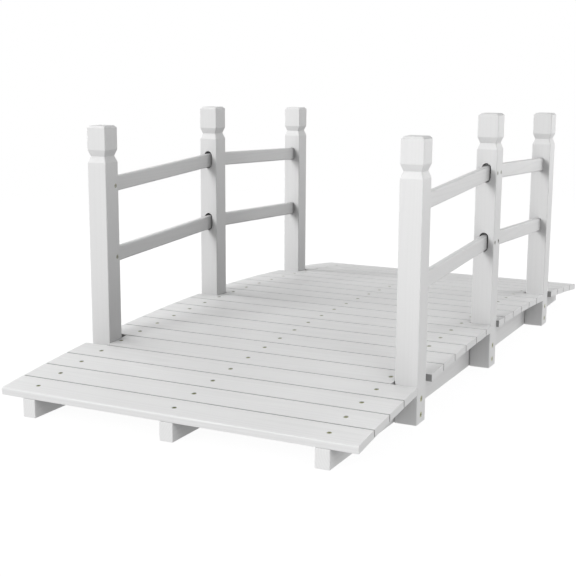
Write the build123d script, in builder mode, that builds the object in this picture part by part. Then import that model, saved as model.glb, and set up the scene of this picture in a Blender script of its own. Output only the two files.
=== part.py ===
"""White-painted wooden garden bridge with a low arched deck and two post-and-rail
sides, modelled as separate timbers and screws.

Frame: millimetres, +Z up, +Y along the walking direction (the front end is -Y),
+X to the right when walking from the front end to the back end. The origin is on
the ground in the middle of the bridge.
"""
import os
from math import cos, sin, radians, atan2, degrees, sqrt

from build123d import *

# ------------------------------------------------------------------ dimensions
# deck
deck_width = 670.0          # length of a deck board, across the bridge
board_count = 22
# distance from joint to joint along the arch, from an end of the deck to mid-span
outer_pitch = 63.6          # the four boards outside the end posts
short_pitch = 68.4          # the short board between the end posts
inner_pitch = 63.5          # the five boards after it
middle_pitch = 63.7         # the board that is notched round the middle posts
board_gap = 2.8             # open joint between two boards
board_thickness = 13.0
deck_radius = 5700.0        # radius of the walking surface
deck_crown = 89.0           # height of the walking surface at mid-span
board_edge_radius = 0.4
nosing_radius = 3.0         # rounded nosing on the first and last board
seat_clearance = 0.05       # air between two timbers that bear on each other

# stringers (the three long beams under the deck)
stringer_width = 25.6
stringer_length = 1400.8
outer_stringer_face = 289.2         # outer face of the outer stringers, from the middle
stringer_edge_radius = 1.5

# posts
post_section = 41.0
post_edge_radius = 2.0
end_post_y = 416.0                  # middle of the end posts, from mid-span
end_post_face_top = 479.2           # top of the upright faces, below the top bevel
middle_post_face_top = 497.2
post_bevel = 4.0                    # bevel round the flat top of a post
groove_top = 40.7                   # V groove, measured down from the face top
groove_bottom = 64.3
groove_depth = 4.3
post_x = outer_stringer_face + seat_clearance + post_section / 2
deck_notch_clearance = 1.4          # gap between a post and the boards beside it

# rails
rail_width = 12.0
rail_height = 28.6
rail_edge_radius = 3.0
upper_rail_end_z = 370.6            # middle of the rail at the face of the end post
upper_rail_middle_z = 386.9         # middle of the rail at the face of the middle post
lower_rail_end_z = 234.8
lower_rail_middle_z = 251.5
rail_end_tenon = 19.0               # how far a rail goes into an end post
rail_middle_tenon = 18.6            # how far a rail goes into the middle post
mortise_clearance = 0.15
slot_width = 18.0                   # round-ended slots through the middle posts
slot_height = 37.4
upper_slot_z = 388.0
lower_slot_z = 252.6

# countersunk wood screws
screw_radius = 2.0
screw_head_radius = 3.9
post_screw_head_radius = 5.0
screw_sink = 0.6                    # how far a head sits below the timber's face
screw_clearance = 0.12
recess_width = 0.33                 # cross recess, as shares of the head's radius
recess_length = 1.18
recess_depth = 0.41
deck_screw_length = 35.0
post_screw_length = 48.0
rail_screw_length = 24.0
deck_screw_rows = (-278.0, -1.8, 274.4)     # one row over each stringer
post_screw_z = (14.8, 42.7)
rail_screw_offset = 11.5            # from the middle of a middle post
end_rail_screw_offset = 11.7        # from the middle of an end post, toward mid-span

os.makedirs("parts", exist_ok=True)

bottom_radius = deck_radius - board_thickness


# ------------------------------------------------------------------ positions
half_pitches = [outer_pitch] * 4 + [short_pitch] + [inner_pitch] * 5 + [middle_pitch]
board_pitches = half_pitches + half_pitches[::-1]       # board 1 at the front end


def arch_angle(number):
    """Angle of a board's middle on the arch."""
    before = sum(board_pitches[:number - 1]) + board_pitches[number - 1] / 2
    return (before - sum(half_pitches)) / deck_radius


def arch_plane(angle, radius, x=0.0):
    """Plane on an arch of this radius about the deck's centre of curvature."""
    centre_z = deck_crown - deck_radius
    return Plane(
        origin=(x, radius * sin(angle), centre_z + radius * cos(angle)),
        x_dir=(1, 0, 0),
        z_dir=(0, sin(angle), cos(angle)),
    )


def rail_z(level, y):
    """Height of a rail's middle line at this distance along the bridge."""
    y_end = end_post_y - post_section / 2
    y_middle = post_section / 2
    z_end, z_middle = {
        "upper": (upper_rail_end_z, upper_rail_middle_z),
        "lower": (lower_rail_end_z, lower_rail_middle_z),
    }[level]
    share = (y_end - abs(y)) / (y_end - y_middle)
    return z_end + (z_middle - z_end) * share


def rail_plane(side, end, level, y):
    """Plane square to a rail at y, its normal running along the rail toward +Y."""
    slope = (rail_z(level, 100.0) - rail_z(level, 200.0)) / 100.0
    if end == "back":
        slope = -slope
    run = sqrt(1.0 + slope * slope)
    return Plane(
        origin=(side * post_x, y, rail_z(level, y)),
        x_dir=(1, 0, 0),
        z_dir=(0, 1.0 / run, slope / run),
    )


sides = {"left": -1, "right": 1}
ends = {"front": -1, "back": 1}
levels = ("upper", "lower")

# screws: (plane on the timber's face with the normal pointing out, length)
deck_screws = [
    (arch_plane(arch_angle(n), deck_radius + seat_clearance, x), deck_screw_length)
    for n in range(1, board_count + 1)
    for x in deck_screw_rows
]
post_screws = [
    (Plane(origin=(s * (post_x + post_section / 2), y, z), z_dir=(s, 0, 0)), post_screw_length)
    for s in sides.values()
    for y in (-end_post_y, 0.0, end_post_y)
    for z in post_screw_z
]
middle_rail_screws = [
    (
        Plane(
            origin=(s * (post_x + post_section / 2), e * rail_screw_offset,
                    rail_z(level, rail_screw_offset)),
            z_dir=(s, 0, 0),
        ),
        rail_screw_length,
    )
    for s in sides.values()
    for e in ends.values()
    for level in levels
]
# only the front posts have screws at their rail ends
end_rail_screws = [
    (
        Plane(
            origin=(s * (post_x - post_section / 2), -(end_post_y - end_rail_screw_offset),
                    rail_z(level, end_post_y - end_rail_screw_offset)),
            z_dir=(-s, 0, 0),
        ),
        rail_screw_length,
    )
    for s in sides.values()
    for level in levels
]

hole_radius = screw_radius + screw_clearance
sink_extra = screw_sink + 0.15      # a countersink's rim stands this far outside the head

# ------------------------------------------------------------------ stringers
stringers = {
    "left_stringer": -(outer_stringer_face - stringer_width / 2),
    "middle_stringer": 0.0,
    "right_stringer": outer_stringer_face - stringer_width / 2,
}
for (name, x), screw_x in zip(stringers.items(), deck_screw_rows):
    half = stringer_length / 2
    top_radius = bottom_radius
    centre_z = deck_crown - deck_radius
    end_z = centre_z + sqrt(top_radius**2 - half**2)
    with BuildPart() as stringer:
        with BuildSketch(Plane.YZ.offset(x - stringer_width / 2)):
            with BuildLine():
                Polyline((-half, end_z), (-half, 0), (half, 0), (half, end_z))
                ThreePointArc((half, end_z), (0, centre_z + top_radius), (-half, end_z))
            make_face()
        extrude(amount=stringer_width)
        fillet(stringer.edges(), stringer_edge_radius)
        # pilot holes for the deck screws
        for n in range(1, board_count + 1):
            with Locations(arch_plane(arch_angle(n), bottom_radius, screw_x)):
                Hole(radius=hole_radius, depth=deck_screw_length - board_thickness + 0.6)
        # pilot holes for the post screws, in the outer stringers' outer faces
        if x != 0:
            s = 1 if x > 0 else -1
            for y in (-end_post_y, 0.0, end_post_y):
                for z in post_screw_z:
                    with Locations(Plane(origin=(s * outer_stringer_face, y, z), z_dir=(s, 0, 0))):
                        Hole(radius=hole_radius, depth=post_screw_length - post_section + 1.5)
    stringer.part.label = name
    export_step(stringer.part, f"parts/{name}.step")

# ------------------------------------------------------------------ deck boards
first_short, last_short = 5, 18     # these two fit between the end posts
for n in range(1, board_count + 1):
    name = f"deck_board_{n:02d}"
    plane = arch_plane(arch_angle(n), deck_radius + seat_clearance)
    length = deck_width
    width = board_pitches[n - 1] - board_gap
    if n in (first_short, last_short):
        length = 2 * (post_x - post_section / 2 - deck_notch_clearance)
    with BuildPart() as board:
        with BuildSketch(plane):
            Rectangle(length, width)
        extrude(amount=-board_thickness)
        if n in (1, board_count):
            # the nosing is rounded first: it is the outer long edge on top
            long_edges = board.edges().filter_by(Axis.X)
            outer = long_edges.sort_by(Axis.Z)[-2:].sort_by(Axis.Y)
            fillet(outer[0] if n == 1 else outer[-1], nosing_radius)
        fillet(board.edges().filter_by(lambda e: e.geom_type == GeomType.LINE)
               if n not in (1, board_count) else
               board.edges().filter_by(Axis.X).sort_by(Axis.Z)[:2]
               + board.edges().filter_by(Axis.X).sort_by(Axis.Z)[-1:],
               board_edge_radius)
        if n in (board_count // 2, board_count // 2 + 1):
            # notches round the middle posts, half in each of the two middle boards
            with BuildSketch(Plane.XY.offset(deck_crown + 10)):
                for s in sides.values():
                    notch_half = post_section / 2 + deck_notch_clearance
                    inner = post_x - notch_half
                    with Locations((s * (inner + deck_width) / 2, 0)):
                        Rectangle(deck_width - inner, 2 * notch_half)
            extrude(amount=-(board_thickness + 30), mode=Mode.SUBTRACT)
        # screw holes, one over each stringer
        for x in deck_screw_rows:
            with Locations(arch_plane(arch_angle(n), deck_radius + seat_clearance, x)):
                CounterSinkHole(radius=hole_radius,
                                counter_sink_radius=screw_head_radius + sink_extra,
                                depth=board_thickness + 2, counter_sink_angle=90)
    board.part.label = name
    export_step(board.part, f"parts/{name}.step")

# ------------------------------------------------------------------ posts
for side, s in sides.items():
    for place, y in (("front", -end_post_y), ("middle", 0.0), ("back", end_post_y)):
        name = f"{side}_{place}_post"
        face_top = middle_post_face_top if place == "middle" else end_post_face_top
        groove_mid = (groove_top + groove_bottom) / 2
        sections = (
            (0.0, 1.0),
            (1.0, 0.0),
            (face_top - groove_bottom, 0.0),
            (face_top - groove_mid, groove_depth),
            (face_top - groove_top, 0.0),
            (face_top, 0.0),
            (face_top + post_bevel, post_bevel),
        )
        with BuildPart() as post:
            for z, inset in sections:
                with BuildSketch(Plane.XY.offset(z)):
                    with Locations((s * post_x, y)):
                        RectangleRounded(post_section - 2 * inset, post_section - 2 * inset,
                                         post_edge_radius)
            loft(ruled=True)
            if place == "middle":
                # round-ended slots for the rail ends, right through from front to back
                with BuildSketch(Plane.XZ.offset(-post_section)):
                    for z in (upper_slot_z, lower_slot_z):
                        with Locations((s * post_x, z)):
                            SlotOverall(slot_height, slot_width, rotation=90)
                extrude(amount=2 * post_section, mode=Mode.SUBTRACT)
                screw_planes = [p for p, _ in middle_rail_screws if p.origin.X * s > 0]
            else:
                # close-fitting mortises for the rail ends, in the face toward mid-span
                e = -1 if place == "front" else 1
                inner_face = e * (end_post_y - post_section / 2)
                for level in levels:
                    with BuildSketch(rail_plane(s, place, level, inner_face - e * 3)):
                        RectangleRounded(rail_width + 2 * mortise_clearance,
                                         rail_height + 2 * mortise_clearance,
                                         rail_edge_radius)
                    extrude(amount=e * (rail_end_tenon + 3.4), mode=Mode.SUBTRACT)
                screw_planes = [p for p, _ in end_rail_screws
                                if p.origin.X * s > 0 and p.origin.Y * e > 0]
            for plane in screw_planes:
                with Locations(plane):
                    CounterSinkHole(radius=hole_radius,
                                    counter_sink_radius=screw_head_radius + sink_extra,
                                    depth=post_section / 2 + 2, counter_sink_angle=90)
            for plane, _ in post_screws:
                if plane.origin.X * s > 0 and abs(plane.origin.Y - y) < 1:
                    with Locations(plane):
                        CounterSinkHole(radius=hole_radius,
                                        counter_sink_radius=post_screw_head_radius + sink_extra,
                                        depth=post_section + 2, counter_sink_angle=90)
        post.part.label = name
        export_step(post.part, f"parts/{name}.step")

# ------------------------------------------------------------------ rails
for side, s in sides.items():
    for end, e in ends.items():
        for level in levels:
            name = f"{side}_{end}_{level}_rail"
            y_outer = e * (end_post_y - post_section / 2 + rail_end_tenon)
            y_inner = e * (post_section / 2 - rail_middle_tenon)
            start = rail_plane(s, end, level, min(y_outer, y_inner))
            stop = rail_plane(s, end, level, max(y_outer, y_inner))
            run = (stop.origin - start.origin).length
            with BuildPart() as rail:
                with BuildSketch(start):
                    RectangleRounded(rail_width, rail_height, rail_edge_radius)
                extrude(amount=run)
                # pilot holes: from outside near the middle post, from inside at a front post
                with Locations(
                    Plane(origin=(s * (post_x + rail_width / 2), e * rail_screw_offset,
                                  rail_z(level, rail_screw_offset)), z_dir=(s, 0, 0)),
                ):
                    Hole(radius=hole_radius, depth=rail_width - 1.2)
                if end == "front":
                    with Locations(
                        Plane(origin=(s * (post_x - rail_width / 2),
                                      -(end_post_y - end_rail_screw_offset),
                                      rail_z(level, end_post_y - end_rail_screw_offset)),
                              z_dir=(-s, 0, 0)),
                    ):
                        Hole(radius=hole_radius, depth=rail_width - 1.2)
            rail.part.label = name
            export_step(rail.part, f"parts/{name}.step")

# ------------------------------------------------------------------ screws
screw_sets = {
    "deck_screws": deck_screws,
    "post_screws": post_screws,
    "rail_screws": middle_rail_screws + end_rail_screws,
}
for name, screws in screw_sets.items():
    length = screws[0][1]
    head_radius = post_screw_head_radius if name == "post_screws" else screw_head_radius
    head_depth = head_radius - screw_radius + 0.1
    with BuildPart() as screw:
        # one screw, its head's flat top on the ground plane and its point below
        with BuildSketch(Plane.XZ):
            with BuildLine():
                Polyline((0, 0), (head_radius, 0), (screw_radius, -head_depth),
                         (screw_radius, -length + 4.0), (0, -length), close=True)
            make_face()
        revolve(axis=Axis.Z)
        with BuildSketch(Plane.XY):
            Rectangle(recess_length * head_radius, recess_width * head_radius)
            Rectangle(recess_width * head_radius, recess_length * head_radius)
        extrude(amount=-recess_depth * head_radius, mode=Mode.SUBTRACT)
    with BuildPart() as screw_set:
        with Locations(*[plane.offset(-screw_sink) for plane, _ in screws]):
            add(screw.part, clean=False)
    screw_set.part.label = name
    export_step(screw_set.part, f"parts/{name}.step")
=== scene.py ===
import math
import random

import bpy
from mathutils import Matrix, Vector


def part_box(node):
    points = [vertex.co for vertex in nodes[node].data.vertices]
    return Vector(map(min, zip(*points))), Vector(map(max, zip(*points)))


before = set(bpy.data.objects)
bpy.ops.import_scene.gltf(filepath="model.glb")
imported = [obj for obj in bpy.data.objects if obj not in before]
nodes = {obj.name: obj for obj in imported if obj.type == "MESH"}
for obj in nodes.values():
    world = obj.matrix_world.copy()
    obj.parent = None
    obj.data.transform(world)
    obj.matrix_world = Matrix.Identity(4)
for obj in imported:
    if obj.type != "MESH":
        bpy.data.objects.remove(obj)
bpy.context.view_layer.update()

scene = bpy.context.scene

# ---------------------------------------------------------------- colour
scene.view_settings.view_transform = "Standard"
scene.view_settings.look = "None"
scene.view_settings.exposure = 0.0
scene.view_settings.gamma = 1.0
# the softboxes and the white floor light the object directly
scene.cycles.diffuse_bounces = 0

# ---------------------------------------------------------------- camera
IMAGE = 576.0
YAW, PITCH, ROLL = 0.4865, 0.19599, 0.00089
FOCAL, CX, CY = 1171.349, 251.791, 285.917
EYE = Vector((0.966594, -2.231215, 0.614733))


def make_camera():
    forward = Vector((-math.sin(YAW) * math.cos(PITCH), math.cos(YAW) * math.cos(PITCH), -math.sin(PITCH)))
    right = Vector((math.cos(YAW), math.sin(YAW), 0.0))
    down = forward.cross(right)
    c, s = math.cos(ROLL), math.sin(ROLL)
    right, down = c * right + s * down, -s * right + c * down
    data = bpy.data.cameras.new("camera")
    data.sensor_fit = "HORIZONTAL"
    data.sensor_width = 36.0
    data.lens = FOCAL / IMAGE * 36.0
    data.shift_x = (IMAGE / 2 - CX) / IMAGE
    data.shift_y = (CY - IMAGE / 2) / IMAGE
    data.clip_start, data.clip_end = 0.05, 100.0
    cam = bpy.data.objects.new("camera", data)
    scene.collection.objects.link(cam)
    cam.matrix_world = Matrix((
        (right.x, -down.x, -forward.x, EYE.x),
        (right.y, -down.y, -forward.y, EYE.y),
        (right.z, -down.z, -forward.z, EYE.z),
        (0, 0, 0, 1),
    ))
    scene.camera = cam


# ---------------------------------------------------------------- node helpers
class Tree:
    """A short way to write a material's nodes."""

    def __init__(self, name):
        self.material = bpy.data.materials.new(name)
        self.material.use_nodes = True
        self.tree = self.material.node_tree
        self.tree.nodes.clear()

    def node(self, kind, **settings):
        n = self.tree.nodes.new(kind)
        for key, value in settings.items():
            setattr(n, key, value)
        return n

    def put(self, socket, value):
        if isinstance(value, bpy.types.NodeSocket):
            self.tree.links.new(value, socket)
        else:
            socket.default_value = value

    def math(self, operation, a, b=0.0, c=None, clamp=False):
        n = self.node("ShaderNodeMath", operation=operation, use_clamp=clamp)
        self.put(n.inputs[0], a)
        self.put(n.inputs[1], b)
        if c is not None:
            self.put(n.inputs[2], c)
        return n.outputs[0]

    def vector(self, operation, a, b=(0, 0, 0)):
        n = self.node("ShaderNodeVectorMath", operation=operation)
        self.put(n.inputs[0], a)
        self.put(n.inputs[1], b)
        return n.outputs["Value"] if operation in ("DOT_PRODUCT", "LENGTH") else n.outputs[0]

    def noise(self, vector, scale, detail=2.0, roughness=0.5, distortion=0.0):
        n = self.node("ShaderNodeTexNoise", noise_dimensions="3D")
        self.put(n.inputs["Vector"], vector)
        self.put(n.inputs["Scale"], scale)
        self.put(n.inputs["Detail"], detail)
        self.put(n.inputs["Roughness"], roughness)
        self.put(n.inputs["Distortion"], distortion)
        return n.outputs["Fac"]

    def smooth(self, value, low, high, to_low=0.0, to_high=1.0):
        n = self.node("ShaderNodeMapRange", interpolation_type="SMOOTHSTEP")
        self.put(n.inputs["Value"], value)
        for socket, x in zip(("From Min", "From Max", "To Min", "To Max"), (low, high, to_low, to_high)):
            n.inputs[socket].default_value = x
        return n.outputs["Result"]

    def split(self, vector):
        n = self.node("ShaderNodeSeparateXYZ")
        self.put(n.inputs[0], vector)
        return n.outputs

    def join(self, x, y, z):
        n = self.node("ShaderNodeCombineXYZ")
        for socket, value in zip(n.inputs, (x, y, z)):
            self.put(socket, value)
        return n.outputs[0]


def painted_timber(name, along, seed, painted_shade_faces=None, grain=1.0):
    """Satin white paint on softwood whose grain runs along one axis of the row frame.

    The fourth argument says which long faces, toward +Y, toward -Y or both, are inside a joint:
    their colour is darkened there, painted shade of the gaps. grain is how much of the wood shows through the
    paint.
    """
    rng = random.Random(seed)
    t = Tree(name)
    place = t.node("ShaderNodeTexCoord").outputs["Object"]
    xyz = t.split(place)
    order = {"X": (0, 1, 2), "Y": (1, 0, 2), "Z": (2, 0, 1)}[along]
    u, v, w = (xyz[i] for i in order)
    # each timber is cut from its own place in the log
    u = t.math("ADD", u, rng.uniform(-9, 9))
    base = t.join(u, v, w)

    # growth rings round a heart that wanders slowly along the timber
    drift = t.vector("MULTIPLY", base, (1.1, 7.0, 7.0))
    sway = t.math("SUBTRACT", t.noise(drift, 1.0, 2.0), 0.5)
    lift = t.math("SUBTRACT", t.noise(t.vector("ADD", drift, (31.7, 5.1, 2.3)), 1.0, 2.0), 0.5)
    heart_v = HEARTS[name][0] + rng.uniform(-0.012, 0.012)
    heart_w = HEARTS[name][1] + rng.uniform(-0.008, 0.008)
    ring_v = t.math("ADD", t.math("SUBTRACT", v, heart_v), t.math("MULTIPLY", sway, 0.022))
    ring_w = t.math("ADD", t.math("SUBTRACT", w, heart_w), t.math("MULTIPLY", lift, 0.022))
    radius = t.math("SQRT", t.math("ADD", t.math("MULTIPLY", ring_v, ring_v), t.math("MULTIPLY", ring_w, ring_w)))
    ragged = t.math("MULTIPLY", t.noise(t.vector("MULTIPLY", base, (14, 420, 420)), 1.0, 2.0), 0.0009)
    ring = t.math("FRACT", t.math("DIVIDE", t.math("ADD", radius, ragged), rng.uniform(0.0034, 0.0046)))
    late = t.math("MULTIPLY", t.smooth(ring, 0.35, 0.86), t.smooth(ring, 1.0, 0.9))
    # wood fibres under the paint
    fibre = t.noise(t.vector("MULTIPLY", base, (16, 760, 760)), 1.0, 3.0, 0.6)
    # broad patches where the grain shows more or less
    patch = t.smooth(t.noise(t.vector("MULTIPLY", base, (3.0, 14, 14)), 1.0, 2.0), 0.35, 0.65)
    # streaks a few growth rings wide
    streak = t.noise(t.vector("MULTIPLY", base, (2.4, 170, 170)), 1.0, 3.0, 0.6)
    # the paint film itself
    film = t.noise(place, 520.0, 2.0, 0.5)
    ripple = t.noise(t.vector("MULTIPLY", base, (9, 60, 60)), 1.0, 2.0)

    # how far a point is from a flat face: 1 on the arrises
    bevel = t.node("ShaderNodeBevel", samples=6)
    bevel.inputs["Radius"].default_value = 0.0016
    true_normal = t.node("ShaderNodeNewGeometry").outputs["Normal"]
    edge = t.smooth(t.vector("DOT_PRODUCT", bevel.outputs[0], true_normal), 0.999, 0.93)
    axis = {"X": (1, 0, 0), "Y": (0, 1, 0), "Z": (0, 0, 1)}[along]
    end = t.smooth(t.math("ABSOLUTE", t.vector("DOT_PRODUCT", true_normal, axis)), 0.6, 0.95)

    # height in metres
    height = t.math("MULTIPLY", late, t.math("MULTIPLY_ADD", patch, 0.00006, 0.00003))
    height = t.math("ADD", height, t.math("MULTIPLY", fibre, t.math("MULTIPLY_ADD", patch, 0.00004, 0.00004)))
    height = t.math("ADD", height, t.math("MULTIPLY", streak, 0.00010))
    height = t.math("MULTIPLY", height, t.math("MULTIPLY_ADD", end, -0.45 * grain, grain))
    height = t.math("ADD", height, t.math("MULTIPLY", film, 0.000012))
    height = t.math("ADD", height, t.math("MULTIPLY", ripple, 0.00014 * grain))
    bump = t.node("ShaderNodeBump")
    bump.inputs["Strength"].default_value = 1.0
    bump.inputs["Distance"].default_value = 1.0
    t.put(bump.inputs["Height"], height)

    # colour: paint, a little thinner over late wood, and lighter on the arrises as a painted highlight
    tone = rng.uniform(-0.008, 0.008)
    shade = t.math("MULTIPLY_ADD", late, -0.03 * grain, 1.005 + tone)
    shade = t.math("ADD", shade, t.math("MULTIPLY_ADD", fibre, 0.05 * grain, -0.025 * grain))
    shade = t.math("ADD", shade, t.math("MULTIPLY_ADD", streak, 0.03 * grain, -0.015 * grain))
    shade = t.math("ADD", shade, t.math("MULTIPLY_ADD", t.noise(t.vector("MULTIPLY", base, (2.2, 9, 9)), 1.0, 3.0),
                                        0.03, -0.015))
    # painted highlight: the arrises are a little lighter in colour
    shade = t.math("ADD", shade, t.math("MULTIPLY", edge, 0.012))
    shade = t.math("SUBTRACT", shade, t.math("MULTIPLY", end, t.math("MULTIPLY_ADD", late, 0.015, -0.01)))
    # painted shade: the long faces inside the joints between deck boards are darkened in colour
    if painted_shade_faces:
        facing = t.split(true_normal)[1]
        if painted_shade_faces == "both":
            facing = t.math("ABSOLUTE", facing)
        elif painted_shade_faces == "-Y":
            facing = t.math("MULTIPLY", facing, -1.0)
        joint_shade = t.smooth(facing, 0.25, 0.7)
        shade = t.math("MULTIPLY", shade, t.math("MULTIPLY_ADD", joint_shade, -JOINT_PAINTED_SHADE, 1.0))
    colour = t.node("ShaderNodeMix", data_type="RGBA", blend_type="MULTIPLY")
    colour.inputs["Factor"].default_value = 1.0
    t.put(colour.inputs[6], (PAINT, PAINT, PAINT, 1.0))
    t.put(colour.inputs[7], t.join(shade, shade, shade))

    shine = t.math("MULTIPLY_ADD", film, 0.10, 0.40)
    shine = t.math("ADD", shine, t.math("MULTIPLY", late, 0.05))
    shine = t.math("SUBTRACT", shine, t.math("MULTIPLY", edge, 0.04))
    shine = t.math("ADD", shine, t.math("MULTIPLY", end, 0.12))

    shader = t.node("ShaderNodeBsdfPrincipled")
    t.put(shader.inputs["Base Color"], colour.outputs[2])
    t.put(shader.inputs["Roughness"], shine)
    shader.inputs["IOR"].default_value = 1.47
    t.put(shader.inputs["Normal"], bump.outputs[0])
    out = t.node("ShaderNodeOutputMaterial")
    t.put(out.inputs["Surface"], shader.outputs[0])
    return t.material


def zinc(name, dark, pale):
    """Dull zinc plating on the screws, mottled between two colours."""
    t = Tree(name)
    place = t.node("ShaderNodeTexCoord").outputs["Object"]
    cloud = t.noise(place, 900.0, 3.0, 0.6)
    wide = t.noise(place, 130.0, 2.0)
    colour = t.node("ShaderNodeMix", data_type="RGBA")
    t.put(colour.inputs["Factor"], t.smooth(t.math("ADD", t.math("MULTIPLY", cloud, 0.5), t.math("MULTIPLY", wide, 0.5)),
                                            0.35, 0.65))
    t.put(colour.inputs[6], dark + (1.0,))
    t.put(colour.inputs[7], pale + (1.0,))
    bump = t.node("ShaderNodeBump")
    bump.inputs["Strength"].default_value = 1.0
    bump.inputs["Distance"].default_value = 1.0
    t.put(bump.inputs["Height"], t.math("MULTIPLY", cloud, 0.00003))
    shader = t.node("ShaderNodeBsdfPrincipled")
    t.put(shader.inputs["Base Color"], colour.outputs[2])
    shader.inputs["Metallic"].default_value = 1.0
    t.put(shader.inputs["Roughness"], t.math("MULTIPLY_ADD", cloud, 0.25, 0.25))
    t.put(shader.inputs["Normal"], bump.outputs[0])
    out = t.node("ShaderNodeOutputMaterial")
    t.put(out.inputs["Surface"], shader.outputs[0])
    return t.material


# ---------------------------------------------------------------- materials on the timbers
PAINT = 0.79
# how much darker the joint faces of the deck boards are: painted shade of the gaps
JOINT_PAINTED_SHADE = 0.42
HEARTS = {}


def dress_nodes():
    # one zinc plating in three brightnesses: the deck copy is darkened as painted shade of the countersunk
    # recesses, the post copy is paler as painted light on the exposed heads
    screws = {
        "deck_screws": zinc("zinc_deck_painted_shade", (0.25, 0.26, 0.14), (0.42, 0.43, 0.25)),
        "rail_screws": zinc("zinc_rail", (0.30, 0.30, 0.25), (0.48, 0.48, 0.42)),
        "post_screws": zinc("zinc_post_painted_light", (0.52, 0.53, 0.33), (0.72, 0.73, 0.50)),
    }
    for seed, (name, node) in enumerate(sorted(nodes.items())):
        if name in screws:
            material = screws[name]
        else:
            along = "X" if name.startswith("deck_board") else "Z" if name.endswith("post") else "Y"
            low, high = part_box(name)
            middle = (low + high) / 2
            rng = random.Random(1000 + seed)
            side = rng.choice((-1, 1))
            # the heart of the log, across the timber, measured from its middle
            if along == "X":
                HEARTS[name] = (middle.y + rng.uniform(-0.02, 0.02), middle.z - rng.uniform(0.035, 0.07))
            elif along == "Z":
                HEARTS[name] = (middle.x + side * rng.uniform(0.02, 0.05), middle.y + rng.uniform(0.03, 0.06))
            else:
                HEARTS[name] = (middle.x + side * rng.uniform(0.03, 0.06), middle.z + rng.uniform(-0.03, 0.03))
            shade_faces = None
            # deck boards get painted shade on their long faces inside the joints
            if along == "X":
                shade_faces = {"deck_board_01": "+Y", "deck_board_22": "-Y"}.get(name, "both")
            material = painted_timber(name, along, seed, shade_faces, {"X": 1.0, "Y": 0.7, "Z": 0.4}[along])
        node.data.materials.clear()
        node.data.materials.append(material)


# ---------------------------------------------------------------- studio
def make_floor():
    """A plain pale floor that fades into the white of the studio."""
    verts, faces = [(0.0, 0.0, 0.0)], []
    radii = [0.4 * 1.22 ** i for i in range(12)]
    turns = 96
    for r in radii:
        verts += [(r * math.cos(2 * math.pi * k / turns), r * math.sin(2 * math.pi * k / turns), 0.0)
                  for k in range(turns)]
    for k in range(turns):
        faces.append((0, 1 + k, 1 + (k + 1) % turns))
    for ring in range(len(radii) - 1):
        a, b = 1 + ring * turns, 1 + (ring + 1) * turns
        for k in range(turns):
            n = (k + 1) % turns
            faces.append((a + k, b + k, b + n, a + n))
    mesh = bpy.data.meshes.new("floor")
    mesh.from_pydata([(x, y, z - 0.0002) for x, y, z in verts], [], faces)
    floor = bpy.data.objects.new("floor", mesh)
    scene.collection.objects.link(floor)
    t = Tree("floor")
    place = t.node("ShaderNodeTexCoord").outputs["Object"]
    far = t.smooth(t.vector("LENGTH", place), 1.0, 3.2, 0.55, 1.0)
    # the floor is open from below, so the underside of the bridge can be looked at
    far = t.math("MAXIMUM", far, t.node("ShaderNodeNewGeometry").outputs["Backfacing"])
    diffuse = t.node("ShaderNodeBsdfPrincipled")
    grain = t.noise(place, 60.0, 3.0)
    colour = t.node("ShaderNodeMix", data_type="RGBA")
    t.put(colour.inputs["Factor"], grain)
    t.put(colour.inputs[6], (0.19, 0.19, 0.19, 1))
    t.put(colour.inputs[7], (0.20, 0.20, 0.20, 1))
    t.put(diffuse.inputs["Base Color"], colour.outputs[2])
    diffuse.inputs["Roughness"].default_value = 0.9
    diffuse.inputs["Specular IOR Level"].default_value = 0.2
    diffuse.inputs["Emission Color"].default_value = (1, 1, 1, 1)
    diffuse.inputs["Emission Strength"].default_value = 0.92
    clear = t.node("ShaderNodeBsdfTransparent")
    mixed = t.node("ShaderNodeMixShader")
    t.put(mixed.inputs[0], far)
    t.put(mixed.inputs[1], diffuse.outputs[0])
    t.put(mixed.inputs[2], clear.outputs[0])
    out = t.node("ShaderNodeOutputMaterial")
    t.put(out.inputs["Surface"], mixed.outputs[0])
    mesh.materials.append(t.material)
    return floor


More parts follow.
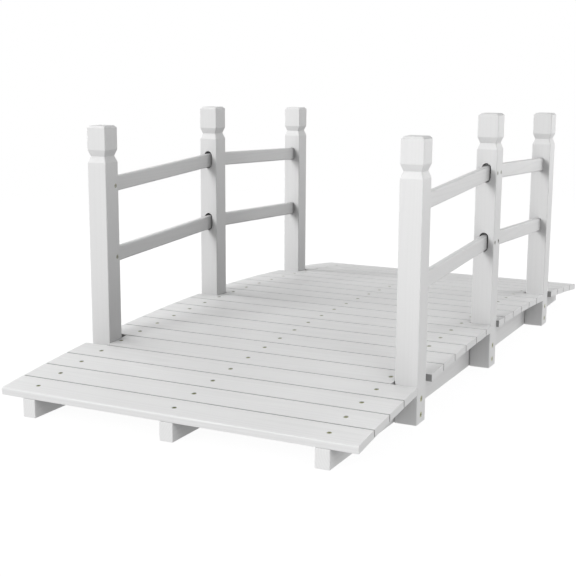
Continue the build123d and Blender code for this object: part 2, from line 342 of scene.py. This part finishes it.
def make_backdrop():
    """The white of the studio round the floor. Only the camera sees it."""
    verts, faces = [], []
    turns, rows, radius = 64, 24, 26.0
    for row in range(rows + 1):
        e = math.radians(-88 + 176 * row / rows)
        for k in range(turns):
            a = 2 * math.pi * k / turns
            verts.append((radius * math.cos(e) * math.cos(a), radius * math.cos(e) * math.sin(a),
                          radius * math.sin(e)))
    for row in range(rows):
        for k in range(turns):
            n = (k + 1) % turns
            faces.append((row * turns + k, row * turns + n, (row + 1) * turns + n, (row + 1) * turns + k))
    mesh = bpy.data.meshes.new("backdrop")
    mesh.from_pydata(verts, [], faces)
    dome = bpy.data.objects.new("backdrop", mesh)
    scene.collection.objects.link(dome)
    t = Tree("backdrop")
    glow = t.node("ShaderNodeEmission")
    glow.inputs["Strength"].default_value = 1.0
    out = t.node("ShaderNodeOutputMaterial")
    t.put(out.inputs["Surface"], glow.outputs[0])
    mesh.materials.append(t.material)
    for way in ("visible_diffuse", "visible_glossy", "visible_transmission", "visible_shadow",
                "visible_volume_scatter"):
        setattr(dome, way, False)
    return dome


# softboxes: name, azimuth from +Y toward +X, elevation, distance, side, radiance
LIGHTS = (
    ("front", 202.5, 22, 6.0, 2.2, 10.4),
    ("front_right", 180, 15, 3.0, 1.1, 0.94),
    ("front_left_high", 247.5, 45, 3.0, 1.6, 2.75),
    ("left_near", 270, 15, 1.6, 0.6, 6.3),
    ("left_back_a", 315, 15, 3.0, 1.1, 0.86),
    ("left_back_b", 337.5, 15, 3.0, 1.1, 0.64),
    ("back_high_near", 337.5, 45, 1.6, 0.8, 1.08),
    ("back", 22.5, 15, 3.0, 2.0, 1.0),
    ("right_back_near", 45, 15, 1.6, 0.6, 3.8),
    ("right_near", 90, 5, 1.6, 0.6, 1.2),
    ("right_front_near", 135, 15, 1.6, 0.6, 2.9),
)
AMBIENT = 0.30


def make_light(name, azimuth, elevation, distance, side, radiance):
    a, e = math.radians(azimuth), math.radians(elevation)
    toward = Vector((math.sin(a) * math.cos(e), math.cos(a) * math.cos(e), math.sin(e)))
    data = bpy.data.lights.new(name, "AREA")
    data.shape = "SQUARE"
    data.size = side
    data.energy = radiance * math.pi * side * side
    lamp = bpy.data.objects.new(name, data)
    scene.collection.objects.link(lamp)
    lamp.location = Vector((0, 0, 0.2)) + toward * distance
    lamp.rotation_mode = "QUATERNION"
    lamp.rotation_quaternion = (-toward).to_track_quat("-Z", "Y")
    lamp.visible_camera = False
    return lamp


def make_lights():
    for row in LIGHTS:
        make_light(*row)
    world = bpy.data.worlds.new("world")
    world.use_nodes = True
    background = world.node_tree.nodes["Background"]
    background.inputs["Color"].default_value = (1, 1, 1, 1)
    background.inputs["Strength"].default_value = AMBIENT
    scene.world = world


make_camera()
make_floor()
make_backdrop()
make_lights()
dress_nodes()
